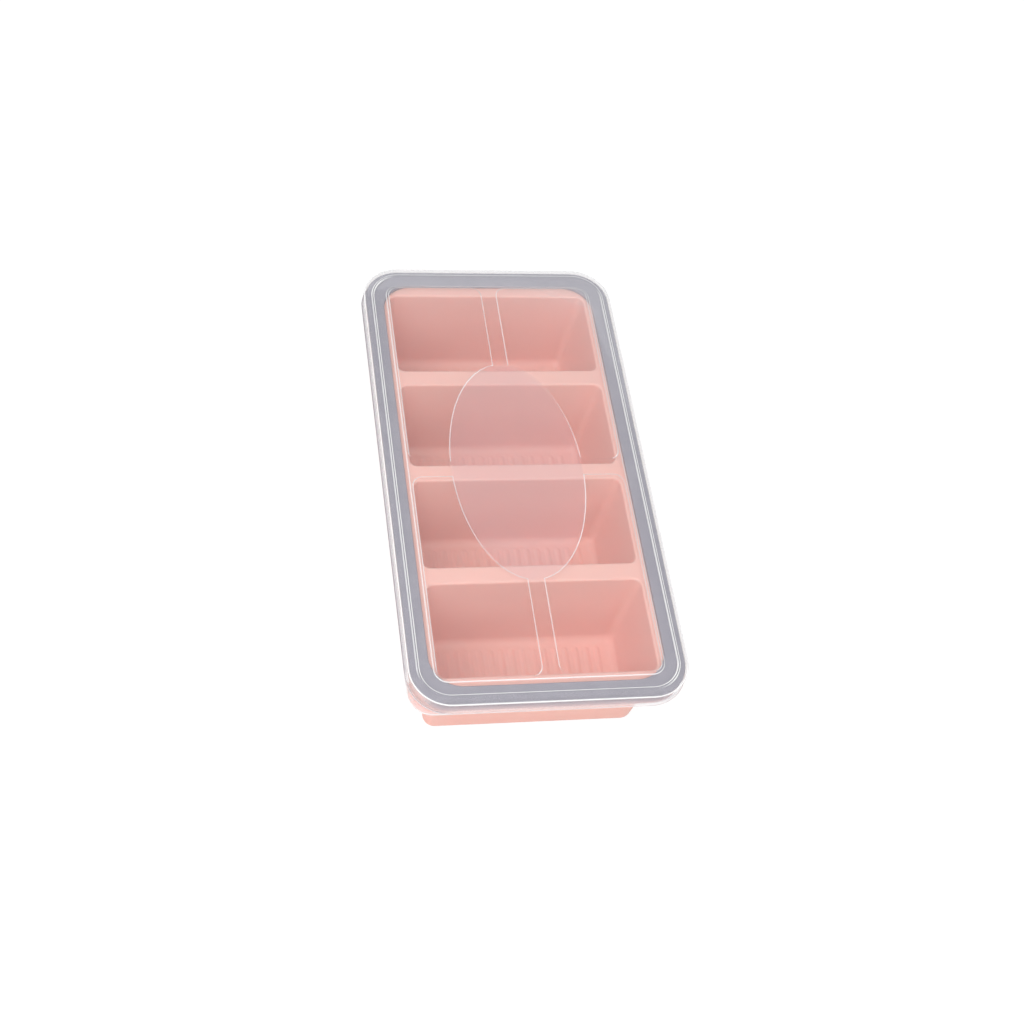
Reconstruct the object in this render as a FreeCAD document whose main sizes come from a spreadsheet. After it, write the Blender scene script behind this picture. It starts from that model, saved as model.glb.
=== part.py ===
import FreeCAD, Part
import math
import os
import Sketcher
from FreeCAD import Vector

# A silicone freezer tray for baby food, with four deep cups in a row, and its clear press-on lid.
# Millimetres. +Z is up, +Y runs along the row of cups, and the front is -Y.
# The origin is at the middle of the footprint, on the surface that the tray stands on.

CUP_COUNT = 4
RIB_COUNT = 16
# The share of a rib's half width that its end corners are rounded by.
RIB_END_SHARE = 0.9
QUARTER_TURN = math.pi / 2
# How close a face or edge has to lie to a height to be picked, in millimetres.
NEAR = 1e-4

# The driving dimensions, as (name, value, meaning).
SIZES = (
    ("cup_width", 109.0, "cup mouth across the tray"),
    ("cup_length", 51.0, "cup mouth along the tray"),
    ("cup_depth", 56.0, "from the rim's top to the cup's floor"),
    ("cup_taper", 2.5, "how far each cup wall leans in on its way down"),
    ("cup_round", 4.0, "round along the corners and the floor of a cup, inside"),
    ("mouth_round", 1.2, "round on the lip of a cup"),
    ("divider", 9.75, "flat strip between two cup mouths"),
    ("wall", 2.0, "silicone wall of a cup"),
    ("floor_thick", 2.0, "silicone under a cup"),
    ("rib_width", 2.6, "floor rib across"),
    ("rib_height", 0.5, "floor rib above the floor"),
    ("rib_pitch", 5.7, "from rib to rib"),
    ("rib_margin", 1.5, "from a rib's end to the round of the floor"),
    ("rim_side", 13.1, "rim beside a cup mouth, at the long sides"),
    ("rim_end", 14.95, "rim beyond the end cups"),
    ("rim_corner", 18.6, "outer corner radius of the rim"),
    ("rim_thick", 2.6, "flat web of the rim"),
    ("bead_width", 6.4, "thick edge of the rim, across"),
    ("bead_height", 6.5, "thick edge of the rim, downwards"),
    ("wire", 3.0, "steel wire in the thick edge"),
    ("wire_clear", 0.05, "space round the wire"),
    ("ear_leg", 18.0, "grip ear under the lid's tab, along each side"),
    ("ear_corner", 12.0, "corner radius of the grip ear"),
    ("ear_thick", 2.4, "thickness of the grip ear"),
    ("ear_reach", 0.9, "how far the grip ear stands out past the rim"),
    ("ear_gap", 0.4, "from the grip ear up to the lid's tab"),
    ("seat_gap", 0.1, "from the rim up to the seal"),
    ("seal_thick", 2.0, "seal thickness"),
    ("seal_width", 9.5, "seal across"),
    ("seal_clear", 0.2, "from the seal's edge to the lid's skirt"),
    ("seal_inner_corner", 16.0, "inner corner radius of the seal"),
    ("lid_wall", 1.2, "lid sheet"),
    ("skirt_clear", 0.4, "from the rim's edge to the skirt"),
    ("skirt_height", 8.7, "skirt, from the lid's border down"),
    ("skirt_flare", 0.3, "how far the skirt leans out on its way down"),
    ("edge_round", 0.8, "round on the lid's outer top edge"),
    ("ridge_inset", 5.2, "from the lid's outline to the ridge"),
    ("ridge_width", 1.3, "ridge across"),
    ("ridge_height", 0.7, "ridge above the border"),
    ("panel_inset", 13.2, "from the lid's outline to the raised panel"),
    ("panel_corner", 6.8, "corner radius of the raised panel"),
    ("panel_raise", 0.4, "panel above the border"),
    ("panel_step", 0.9, "sheet thickness at the panel's step"),
    ("pad_inset", 1.3, "from the panel's edge to a pad"),
    ("pad_corner", 5.5, "corner radius of a pad"),
    ("pad_raise", 0.3, "pad above the panel"),
    ("channel", 8.4, "groove between pads, lengthways"),
    ("cross_gap", 9.6, "groove between pads, crossways"),
    ("oval_width", 69.0, "plain oval in the middle of the panel, across"),
    ("oval_length", 133.0, "plain oval, along the tray"),
    ("tab_leg", 25.0, "lift tab, along each side of its corner"),
    ("tab_corner", 12.0, "corner radius of the lift tab"),
    ("tab_thick", 1.3, "lift tab thickness"),
)


class Size:
    """A length that carries its value and the sheet expression that gives it."""

    def __init__(self, value, text):
        self.value = float(value)
        self.text = text

    @staticmethod
    def of(other):
        """Wrap a bare number."""
        return other if isinstance(other, Size) else Size(other, repr(float(other)))

    def joined(self, other, sign, value):
        """Return the size whose expression joins this one and another by a sign."""
        return Size(value, "(%s %s %s)" % (self.text, sign, Size.of(other).text))

    def __add__(self, other):
        return self.joined(other, "+", self.value + Size.of(other).value)

    def __sub__(self, other):
        return self.joined(other, "-", self.value - Size.of(other).value)

    def __mul__(self, other):
        return self.joined(other, "*", self.value * Size.of(other).value)

    def __truediv__(self, other):
        return self.joined(other, "/", self.value / Size.of(other).value)

    def __neg__(self):
        return self * -1

    __rmul__ = __mul__


doc = FreeCAD.newDocument("freezer_tray")
sheet = doc.addObject("Spreadsheet::Sheet", "sizes")
size = {}
for row, (alias, number, meaning) in enumerate(SIZES, start=1):
    sheet.set("A%d" % row, meaning)
    sheet.set("B%d" % row, str(number))
    sheet.setAlias("B%d" % row, alias)
    size[alias] = Size(number, "sizes." + alias)
doc.recompute()
none = Size(0, "0")

# Heights, from the ground up.
tray_top = size["floor_thick"] + size["cup_depth"]
bead_bottom = tray_top - size["bead_height"]
seal_bottom = tray_top + size["seat_gap"]
border_bottom = seal_bottom + size["seal_thick"]
border_top = border_bottom + size["lid_wall"]
skirt_bottom = border_top - size["skirt_height"]
panel_top = border_top + size["panel_raise"]
pad_top = panel_top + size["pad_raise"]
ear_bottom = skirt_bottom - size["ear_gap"] - size["ear_thick"]
wire_height = tray_top - size["bead_height"] / 2

# Half widths and half lengths, from the cups outwards.
cup_pitch = size["cup_length"] + size["divider"]
first_cup = -cup_pitch * ((CUP_COUNT - 1) / 2)
rim_half = (
    size["cup_width"] / 2 + size["rim_side"],
    cup_pitch * ((CUP_COUNT - 1) / 2) + size["cup_length"] / 2 + size["rim_end"],
)
skirt_reach = size["skirt_clear"] + size["lid_wall"] + size["skirt_flare"]
lid_corner = size["rim_corner"] + skirt_reach


def grown(half, amount):
    """Return a (half width, half length) pair grown by an amount on every side."""
    return (half[0] + amount, half[1] + amount)


lid_half = grown(rim_half, skirt_reach)


def new_body(label):
    """Start a sub-part."""
    body = doc.addObject("PartDesign::Body", label)
    body.Label = label
    return body


def new_sketch(body, name, role, height):
    """Lay a sketch on an origin plane of the body, at a height above that plane."""
    sketch = body.newObject("Sketcher::SketchObject", name)
    plane = [item for item in body.Origin.OriginFeatures if item.Role == role][0]
    sketch.AttachmentSupport = [(plane, "")]
    sketch.MapMode = "FlatFace"
    sketch.setExpression("AttachmentOffset.Base.z", height.text)
    return sketch


def bind(sketch, kind, places, length):
    """Add a dimension to the sketch and tie it to an expression."""
    index = sketch.addConstraint(Sketcher.Constraint(kind, *places, abs(length.value)))
    sketch.setExpression("Constraints[%d]" % index, length.text)


def pin_line(sketch, kind, line, length):
    """Hold the start of a line at a signed distance from the origin."""
    if length.value < 0:
        bind(sketch, kind, (line, 1, -1, 1), -length)
    else:
        bind(sketch, kind, (-1, 1, line, 1), length)


def add_ring_of(sketch, lines, corners):
    """Join straight lines through tangent corner arcs, in order, and return their indices."""
    line_ids = [sketch.addGeometry(line) for line in lines]
    arc_ids = [sketch.addGeometry(arc) for arc in corners]
    for line, arc in zip(line_ids, arc_ids):
        sketch.addConstraint(Sketcher.Constraint("Tangent", line, 2, arc, 1))
    for arc, line in zip(arc_ids, line_ids[1:] + line_ids[:1]):
        sketch.addConstraint(Sketcher.Constraint("Tangent", arc, 2, line, 1))
    return line_ids, arc_ids


def quarter(centre_x, centre_y, radius, quadrant):
    """Return a quarter arc that runs anticlockwise from quadrant times 90 degrees."""
    circle = Part.Circle(Vector(centre_x, centre_y, 0), Vector(0, 0, 1), radius)
    start = quadrant * QUARTER_TURN
    return Part.ArcOfCircle(circle, start, start + QUARTER_TURN)


def rounded_box(sketch, low_x, high_x, low_y, high_y, radius):
    """Draw a rectangle with round corners between signed sizes, held by its dimensions."""
    west, east, south, north = (side.value for side in (low_x, high_x, low_y, high_y))
    r = radius.value
    lines = (
        Part.LineSegment(Vector(west + r, south, 0), Vector(east - r, south, 0)),
        Part.LineSegment(Vector(east, south + r, 0), Vector(east, north - r, 0)),
        Part.LineSegment(Vector(east - r, north, 0), Vector(west + r, north, 0)),
        Part.LineSegment(Vector(west, north - r, 0), Vector(west, south + r, 0)),
    )
    corners = (
        quarter(east - r, south + r, r, 3),
        quarter(east - r, north - r, r, 0),
        quarter(west + r, north - r, r, 1),
        quarter(west + r, south + r, r, 2),
    )
    line_ids, arc_ids = add_ring_of(sketch, lines, corners)
    for line in line_ids[0::2]:
        sketch.addConstraint(Sketcher.Constraint("Horizontal", line))
    for line in line_ids[1::2]:
        sketch.addConstraint(Sketcher.Constraint("Vertical", line))
    for arc in arc_ids[1:]:
        sketch.addConstraint(Sketcher.Constraint("Equal", arc_ids[0], arc))
    bind(sketch, "Radius", (arc_ids[0],), radius)
    pin_line(sketch, "DistanceY", line_ids[0], low_y)
    pin_line(sketch, "DistanceX", line_ids[1], high_x)
    pin_line(sketch, "DistanceY", line_ids[2], high_y)
    pin_line(sketch, "DistanceX", line_ids[3], low_x)


def centred_box(sketch, half, radius):
    """Draw a rectangle with round corners about the origin."""
    rounded_box(sketch, -half[0], half[0], -half[1], half[1], radius)


def corner_wedge(sketch, half, leg, radius):
    """Draw the front left corner of a rectangle, cut off by a slanting line, with its tip rounded."""
    west, south = -half[0].value, -half[1].value
    r = radius.value
    points = (
        Vector(west, south + leg.value, 0),
        Vector(west, south + r, 0),
        Vector(west + r, south, 0),
        Vector(west + leg.value, south, 0),
    )
    left = sketch.addGeometry(Part.LineSegment(points[0], points[1]))
    front = sketch.addGeometry(Part.LineSegment(points[2], points[3]))
    slant = sketch.addGeometry(Part.LineSegment(points[3], points[0]))
    tip = sketch.addGeometry(quarter(west + r, south + r, r, 2))
    sketch.addConstraint(Sketcher.Constraint("Tangent", left, 2, tip, 1))
    sketch.addConstraint(Sketcher.Constraint("Tangent", tip, 2, front, 1))
    sketch.addConstraint(Sketcher.Constraint("Coincident", front, 2, slant, 1))
    sketch.addConstraint(Sketcher.Constraint("Coincident", slant, 2, left, 1))
    sketch.addConstraint(Sketcher.Constraint("Vertical", left))
    sketch.addConstraint(Sketcher.Constraint("Horizontal", front))
    bind(sketch, "Radius", (tip,), radius)
    pin_line(sketch, "DistanceX", left, -half[0])
    pin_line(sketch, "DistanceY", front, -half[1])
    bind(sketch, "DistanceX", (left, 1, front, 2), leg)
    bind(sketch, "DistanceY", (front, 2, left, 1), leg)


def pad(body, name, sketch, height):
    """Raise a sketch into a solid."""
    feature = body.newObject("PartDesign::Pad", name)
    feature.Profile = sketch
    feature.setExpression("Length", height.text)
    return feature


def loft(body, kind, name, top_sketch, bottom_sketch):
    """Run a wall surface from one sketch to another."""
    feature = body.newObject("PartDesign::" + kind, name)
    feature.Profile = top_sketch
    feature.Sections = [bottom_sketch]
    feature.Ruled = True
    return feature


def row_of(body, name, sketch, axis, pitch, count):
    """Set out a row along an axis of a sketch."""
    pattern = body.newObject("PartDesign::LinearPattern", name)
    pattern.Direction = (sketch, [axis])
    pattern.setExpression("Length", (pitch * (count - 1)).text)
    pattern.Occurrences = count
    return pattern


def repeat_cups(body, name, feature, sketch):
    """Repeat a feature of the first cup for the whole row."""
    pattern = row_of(body, name, sketch, "V_Axis", cup_pitch, CUP_COUNT)
    pattern.Originals = [feature]
    body.Tip = pattern
    return pattern


def repeat_ribs(body, feature, sketch):
    """Repeat the first rib across its cup, and that whole set for every cup."""
    grid = body.newObject("PartDesign::MultiTransform", "ribs_grid")
    grid.Originals = [feature]
    across = row_of(body, "ribs_across", sketch, "H_Axis", size["rib_pitch"], RIB_COUNT)
    along = row_of(body, "ribs_along", sketch, "V_Axis", cup_pitch, CUP_COUNT)
    grid.Transformations = [across, along]
    body.Tip = grid
    return grid


def spans(box, low, high):
    """Tell whether a bounding box runs from one height to another."""
    return abs(box.ZMin - low) < NEAR and abs(box.ZMax - high) < NEAR


def edges_between(shape, low, high, half=None):
    """List the names of the edges that run between two heights, and inside a half size when given."""
    names = []
    for number, edge in enumerate(shape.Edges, start=1):
        box = edge.BoundBox
        reach = max(abs(box.XMin), abs(box.XMax)), max(abs(box.YMin), abs(box.YMax))
        inside = half is None or (reach[0] < half[0] and reach[1] < half[1])
        if spans(box, low, high) and inside:
            names.append("Edge%d" % number)
    return names


def edges_at(shape, height, half=None):
    """List the names of the edges that lie flat at a height, and inside a half size when given."""
    return edges_between(shape, height, height, half)


def fillet(body, name, base, edges, radius):
    """Round the named edges of the feature before."""
    feature = body.newObject("PartDesign::Fillet", name)
    feature.Base = (base, edges)
    feature.setExpression("Radius", radius.text)
    doc.recompute()
    return feature


def plain_box(sketch, half):
    """Draw a rectangle with sharp corners about the origin."""
    x, y = half[0].value, half[1].value
    corners = (Vector(-x, -y, 0), Vector(x, -y, 0), Vector(x, y, 0), Vector(-x, y, 0))
    ends = corners[1:] + corners[:1]
    south, east, north, west = [sketch.addGeometry(Part.LineSegment(*pair)) for pair in zip(corners, ends)]
    for line, following in ((south, east), (east, north), (north, west), (west, south)):
        sketch.addConstraint(Sketcher.Constraint("Coincident", line, 2, following, 1))
    sketch.addConstraint(Sketcher.Constraint("Horizontal", south))
    sketch.addConstraint(Sketcher.Constraint("Horizontal", north))
    sketch.addConstraint(Sketcher.Constraint("Vertical", east))
    sketch.addConstraint(Sketcher.Constraint("Vertical", west))
    pin_line(sketch, "DistanceY", south, -half[1])
    pin_line(sketch, "DistanceX", east, half[0])
    pin_line(sketch, "DistanceY", north, half[1])
    pin_line(sketch, "DistanceX", west, -half[0])


def cup_boxes(body, name, kind, level, outset, height):
    """Make one cup's form with upright walls, as a pad or a pocket, and its repeats."""
    sketch = new_sketch(body, name + "_outline", "XY_Plane", level)
    sketch.setExpression("AttachmentOffset.Base.y", first_cup.text)
    plain_box(sketch, (size["cup_width"] / 2 + outset, size["cup_length"] / 2 + outset))
    feature = body.newObject("PartDesign::" + kind, name)
    feature.Profile = sketch
    feature.setExpression("Length", height.text)
    doc.recompute()
    pattern = repeat_cups(body, name + "_row", feature, sketch)
    doc.recompute()
    return pattern


def upright_faces(shape, low, high):
    """List the names of the upright faces that stand on one height and end by another."""
    names = []
    for number, face in enumerate(shape.Faces, start=1):
        box = face.BoundBox
        normal = face.normalAt(*face.Surface.parameter(face.CenterOfMass))
        if abs(normal.z) < NEAR and abs(box.ZMin - low) < NEAR and box.ZMax < high + NEAR:
            names.append("Face%d" % number)
    return names


def flat_face(shape, height):
    """Return the name of the first flat face at a height."""
    for number, face in enumerate(shape.Faces, start=1):
        if spans(face.BoundBox, height, height):
            return "Face%d" % number
    raise RuntimeError("no flat face at %.2f mm" % height)


def lean_in(body, name, base, low, high, outwards):
    """Lean upright walls inwards below the rim's top. Outer walls are drafted the other way."""
    feature = body.newObject("PartDesign::Draft", name)
    feature.Base = (base, upright_faces(base.Shape, low.value, high.value))
    feature.NeutralPlane = (base, [flat_face(base.Shape, tray_top.value)])
    feature.Reversed = outwards
    feature.setExpression("Angle", "atan(%s / %s)" % (size["cup_taper"].text, size["cup_depth"].text))
    doc.recompute()
    return feature


def wire_path(body):
    """Draw the line that the wire follows, in the middle of the rim's thick edge."""
    inset = size["bead_width"] / 2
    sketch = new_sketch(body, "wire_path", "XY_Plane", wire_height)
    centred_box(sketch, grown(rim_half, -inset), size["rim_corner"] - inset)
    return sketch


def wire_section(body, diameter):
    """Draw the wire's round section at the start of its path, square to it."""
    inset = size["bead_width"] / 2
    start = size["rim_corner"] - rim_half[0]
    sketch = new_sketch(body, "wire_section", "YZ_Plane", start)
    across = inset - rim_half[1]
    circle = Part.Circle(Vector(across.value, wire_height.value, 0), Vector(0, 0, 1), diameter.value / 2)
    ring = sketch.addGeometry(circle)
    bind(sketch, "Diameter", (ring,), diameter)
    bind(sketch, "DistanceX", (ring, 3, -1, 1), -across)
    bind(sketch, "DistanceY", (-1, 1, ring, 3), wire_height)
    return sketch


def wire_pipe(body, kind, diameter):
    """Sweep the wire's section round its path."""
    path = wire_path(body)
    section = wire_section(body, diameter)
    feature = body.newObject("PartDesign::" + kind, "wire_pipe")
    feature.Profile = section
    feature.Spine = (path, ["Edge%d" % number for number in range(1, 9)])
    feature.Transition = "Transformed"
    doc.recompute()
    return feature


def make_tray():
    """Mould the tray: rim, thick edge, grip ear, four tapered cups and their floor ribs."""
    body = new_body("tray")
    web = new_sketch(body, "web_outline", "XY_Plane", tray_top - size["rim_thick"])
    centred_box(web, rim_half, size["rim_corner"])
    pad(body, "web", web, size["rim_thick"])

    bead = new_sketch(body, "bead_outline", "XY_Plane", bead_bottom)
    centred_box(bead, rim_half, size["rim_corner"])
    inner_half = grown(rim_half, -size["bead_width"])
    centred_box(bead, inner_half, size["rim_corner"] - size["bead_width"])
    pad(body, "bead", bead, size["bead_height"])

    ear = new_sketch(body, "ear_outline", "XY_Plane", ear_bottom)
    corner_wedge(ear, grown(rim_half, size["ear_reach"]), size["ear_leg"], size["ear_corner"])
    pad(body, "ear", ear, size["ear_thick"])
    doc.recompute()

    # The hollows lean in before the outsides do, because an upright hollow would cut through a leaning wall.
    cup_boxes(body, "cup_outside", "Pad", none, size["wall"], tray_top)
    hollow = cup_boxes(body, "cup_hollow", "Pocket", tray_top, none, size["cup_depth"])
    inside = lean_in(body, "hollow_draft", hollow, size["floor_thick"], tray_top, False)
    outside = lean_in(body, "outside_draft", inside, none, tray_top - size["rim_thick"], True)

    # One round runs down the corners of a cup and along its floor, so the corners end in parts of a ball.
    cup_floor, web_bottom = size["floor_thick"].value, (tray_top - size["rim_thick"]).value
    inner_edges = edges_between(outside.Shape, cup_floor, tray_top.value) + edges_at(outside.Shape, cup_floor)
    inner = fillet(body, "inner_rounds", outside, inner_edges, size["cup_round"])
    outer_edges = edges_between(inner.Shape, 0.0, web_bottom) + edges_at(inner.Shape, 0.0)
    outer = fillet(body, "outer_rounds", inner, outer_edges, size["cup_round"] + size["wall"])
    lips = edges_at(outer.Shape, tray_top.value, [half.value for half in inner_half])
    fillet(body, "mouth_rounds", outer, lips, size["mouth_round"])

    rib = new_sketch(body, "rib_outline", "XY_Plane", size["floor_thick"])
    rib.setExpression("AttachmentOffset.Base.x", (size["rib_pitch"] * ((1 - RIB_COUNT) / 2)).text)
    rib.setExpression("AttachmentOffset.Base.y", first_cup.text)
    half = size["rib_width"] / 2
    half_length = size["cup_length"] / 2 - size["cup_taper"] - size["cup_round"] - size["rib_margin"]
    centred_box(rib, (half, half_length), half * RIB_END_SHARE)
    rib_pad = pad(body, "rib", rib, size["rib_height"])
    doc.recompute()
    repeat_ribs(body, rib_pad, rib)
    doc.recompute()

    wire_pipe(body, "SubtractivePipe", size["wire"] + size["wire_clear"] * 2)
    return body


def make_rim_frame():
    """Bend the steel wire hoop that keeps the rim flat."""
    body = new_body("rim_frame")
    wire_pipe(body, "AdditivePipe", size["wire"])
    return body


def make_lid_seal():
    """Cut the flat seal that lies under the lid's border."""
    body = new_body("lid_seal")
    reach = size["skirt_clear"] - size["seal_clear"]
    outer_half = grown(rim_half, reach)
    sketch = new_sketch(body, "seal_outline", "XY_Plane", seal_bottom)
    centred_box(sketch, outer_half, size["rim_corner"] + reach)
    centred_box(sketch, grown(outer_half, -size["seal_width"]), size["seal_inner_corner"])
    pad(body, "seal", sketch, size["seal_thick"])
    doc.recompute()
    return body


def lid_shell(body, name, kind, top, outset):
    """Make the lid's outside or its hollow, from the skirt's foot up to the border."""
    upper = new_sketch(body, name + "_top", "XY_Plane", top)
    centred_box(upper, grown(rim_half, outset), size["rim_corner"] + outset)
    lower = new_sketch(body, name + "_foot", "XY_Plane", skirt_bottom)
    foot_outset = outset + size["skirt_flare"]
    centred_box(lower, grown(rim_half, foot_outset), size["rim_corner"] + foot_outset)
    feature = loft(body, kind, name, upper, lower)
    doc.recompute()
    return feature


def make_lid():
    """Mould the lid: skirt, lift tab, ridge, raised panel, pads and plain oval."""
    body = new_body("lid")
    lid_shell(body, "outside", "AdditiveLoft", border_top, size["skirt_clear"] + size["lid_wall"])

    tab = new_sketch(body, "tab_outline", "XY_Plane", skirt_bottom)
    corner_wedge(tab, lid_half, size["tab_leg"], size["tab_corner"])
    pad(body, "tab", tab, size["tab_thick"])
    doc.recompute()
    hollow = lid_shell(body, "hollow", "SubtractiveLoft", border_bottom, size["skirt_clear"])

    fillet(body, "edge_rounds", hollow, edges_at(hollow.Shape, border_top.value), size["edge_round"])

    ridge = new_sketch(body, "ridge_outline", "XY_Plane", border_top)
    ridge_outer = grown(lid_half, -size["ridge_inset"])
    centred_box(ridge, ridge_outer, lid_corner - size["ridge_inset"])
    ridge_inner = grown(ridge_outer, -size["ridge_width"])
    centred_box(ridge, ridge_inner, lid_corner - size["ridge_inset"] - size["ridge_width"])
    pad(body, "ridge", ridge, size["ridge_height"])

    panel_half = grown(lid_half, -size["panel_inset"])
    panel = new_sketch(body, "panel_outline", "XY_Plane", border_top)
    centred_box(panel, panel_half, size["panel_corner"])
    pad(body, "panel", panel, size["panel_raise"])

    under = new_sketch(body, "panel_underside", "XY_Plane", border_bottom)
    centred_box(under, grown(panel_half, -size["panel_step"]), size["panel_corner"] - size["panel_step"])
    recess = body.newObject("PartDesign::Pocket", "panel_recess")
    recess.Profile = under
    recess.Reversed = True
    recess.setExpression("Length", size["panel_raise"].text)
    doc.recompute()

    pads = new_sketch(body, "pad_outlines", "XY_Plane", panel_top)
    far_x, far_y = grown(panel_half, -size["pad_inset"])
    near_x = size["channel"] / 2
    near_y = size["cross_gap"] / 2
    for low_x, high_x in ((-far_x, -near_x), (near_x, far_x)):
        for low_y, high_y in ((-far_y, -near_y), (near_y, far_y)):
            rounded_box(pads, low_x, high_x, low_y, high_y, size["pad_corner"])
    pad(body, "pads", pads, size["pad_raise"])

    oval = new_sketch(body, "oval_outline", "XY_Plane", pad_top)
    half_x = size["oval_width"] / 2
    half_y = size["oval_length"] / 2
    tips = (Vector(0, half_y.value, 0), Vector(-half_x.value, 0, 0), Vector(0, 0, 0))
    curve = oval.addGeometry(Part.Ellipse(*tips))
    oval.exposeInternalGeometry(curve)
    oval.addConstraint(Sketcher.Constraint("Coincident", curve, 3, -1, 1))
    bind(oval, "DistanceY", (-1, 1, 1, 1), half_y)
    oval.addConstraint(Sketcher.Constraint("PointOnObject", 1, 1, -2))
    bind(oval, "DistanceX", (2, 1, 2, 2), half_x * 2)
    cut = body.newObject("PartDesign::Pocket", "oval")
    cut.Profile = oval
    cut.setExpression("Length", size["pad_raise"].text)
    doc.recompute()
    return body


def check_document():
    """Stop when any feature failed or any sub-part is not one sound solid."""
    for item in doc.Objects:
        if "Invalid" in item.State or "Error" in item.State:
            raise RuntimeError("%s failed: %s" % (item.Label, item.State))
    for body in parts:
        shape = body.Shape
        if shape.isNull() or not shape.isValid() or len(shape.Solids) != 1:
            raise RuntimeError("%s has no sound shape" % body.Label)


parts = (make_tray(), make_rim_frame(), make_lid_seal(), make_lid())
doc.recompute()
check_document()

os.makedirs("parts", exist_ok=True)
for body in parts:
    body.Shape.exportStep("parts/%s.step" % body.Label)
    box = body.Shape.BoundBox
    reach = (box.XMin, box.XMax, box.YMin, box.YMax, box.ZMin, box.ZMax)
    print(body.Label, "volume %.1f" % body.Shape.Volume, "box", " ".join("%.2f" % side for side in reach))
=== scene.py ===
"""A silicone freezer tray for baby food with its clear lid, dressed for the studio.

Sizes in the classes are millimetres, and become metres when a mesh is made.
+Z is up, +Y runs along the row of cups, and the front end with the lift tab is -Y.
"""
import logging
import math
from abc import ABC, abstractmethod
from dataclasses import dataclass, field
from enum import Enum, IntEnum
from typing import Any, Optional, Sequence, Union

import bmesh
import bpy
import numpy as np
from mathutils import Matrix, Vector, geometry

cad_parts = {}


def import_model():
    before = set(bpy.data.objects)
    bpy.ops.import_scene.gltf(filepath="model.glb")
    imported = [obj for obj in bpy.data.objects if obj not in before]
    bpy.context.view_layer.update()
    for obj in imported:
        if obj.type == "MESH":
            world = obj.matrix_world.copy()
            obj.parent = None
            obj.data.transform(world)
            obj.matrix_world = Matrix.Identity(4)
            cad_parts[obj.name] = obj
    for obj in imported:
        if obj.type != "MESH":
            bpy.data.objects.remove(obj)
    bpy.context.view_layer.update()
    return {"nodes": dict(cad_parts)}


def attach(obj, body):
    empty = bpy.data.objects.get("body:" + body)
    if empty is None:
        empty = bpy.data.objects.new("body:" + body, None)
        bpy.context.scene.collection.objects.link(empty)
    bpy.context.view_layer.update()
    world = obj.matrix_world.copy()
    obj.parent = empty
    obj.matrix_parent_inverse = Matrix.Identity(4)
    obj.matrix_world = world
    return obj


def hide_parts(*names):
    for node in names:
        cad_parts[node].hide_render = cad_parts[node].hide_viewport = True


# Metres in a millimetre.
MM = 0.001
# Pieces in each quarter turn of a rounded outline.
CORNER_STEPS = 14
# Pieces in a broad, a common and a small round of a section.
BROAD_STEPS = 8
ROUND_STEPS = 6
SMALL_STEPS = 4
# The least corner radius that a ring may have.
LEAST_CORNER = 0.25
# Points closer than this, in metres, become one.
MERGE_GAP = 1e-6
# Edges that turn by more than this stay sharp.
SHARP_ANGLE = math.radians(38)
# The name under which a mesh carries how much painted light each point gets: a painted paleness on the
# silicone's lip, bead, ear and rim top, and painted white highlights on the lid's formed edges.
PAINTED_LIGHT_MARK = "edge"
# Half sizes of the oval in the middle of the lid.
OVAL_HALF = (34.5, 66.5)

# The curve of a screen's colours: where its straight part ends, that part's slope, and the
# offset and power of the rest.
SCREEN_KNEE = 0.04045
SCREEN_SLOPE = 12.92
SCREEN_OFFSET = 0.055
SCREEN_POWER = 2.4

# The colour sockets of a Mix node by number, because their names repeat.
MIX_FIRST = 6
MIX_SECOND = 7
NOISE_MIDDLE = 0.5

LOG = logging.getLogger("freezer_tray")


def linear(red: float, green: float, blue: float) -> tuple[float, float, float, float]:
    """Turn a colour as a screen shows it, 0 to 255, into the linear one that shaders work with.

    Args:
        red: Red as shown.
        green: Green as shown.
        blue: Blue as shown.

    Returns:
        Linear red, green, blue and an alpha of 1.
    """
    shown = np.array([red, green, blue]) / 255.0
    curved = ((shown + SCREEN_OFFSET) / (1.0 + SCREEN_OFFSET)) ** SCREEN_POWER
    straight = np.where(shown <= SCREEN_KNEE, shown / SCREEN_SLOPE, curved)
    return (*map(float, straight), 1.0)


# Shader maths


class Wire:
    """A node's output that takes part in Python arithmetic, each operation adding its Math node."""

    def __init__(self, net: "Net", socket: bpy.types.NodeSocket) -> None:
        """Hold a socket and the net that it belongs to."""
        self.net = net
        self.socket = socket

    def math(self, operation: str, first: "Operand", second: "Operand") -> "Wire":
        """Add a Math node with two inputs and return its output."""
        return self.net.node("ShaderNodeMath", {"operation": operation}, {0: first, 1: second})

    def __add__(self, other: "Operand") -> "Wire":
        """Add."""
        return self.math("ADD", self, other)

    __radd__ = __add__

    def __sub__(self, other: "Operand") -> "Wire":
        """Take away."""
        return self.math("SUBTRACT", self, other)

    def __rsub__(self, other: "Operand") -> "Wire":
        """Take this away from the other."""
        return self.math("SUBTRACT", other, self)

    def __mul__(self, other: "Operand") -> "Wire":
        """Multiply."""
        return self.math("MULTIPLY", self, other)

    __rmul__ = __mul__

    def at_most(self, other: "Operand") -> "Wire":
        """Return the smaller of the two."""
        return self.math("MINIMUM", self, other)

    def step(self, low: float, high: float) -> "Wire":
        """Rise smoothly from 0 at low to 1 at high, or fall where low is the greater."""
        inputs = {"Value": self, "From Min": low, "From Max": high}
        return self.net.node("ShaderNodeMapRange", {"interpolation_type": "SMOOTHSTEP"}, inputs)


Operand = Union[Wire, float, int]
Colour = tuple[float, float, float, float]
Pair = tuple[float, float]
Triple = tuple[float, float, float]


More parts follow.
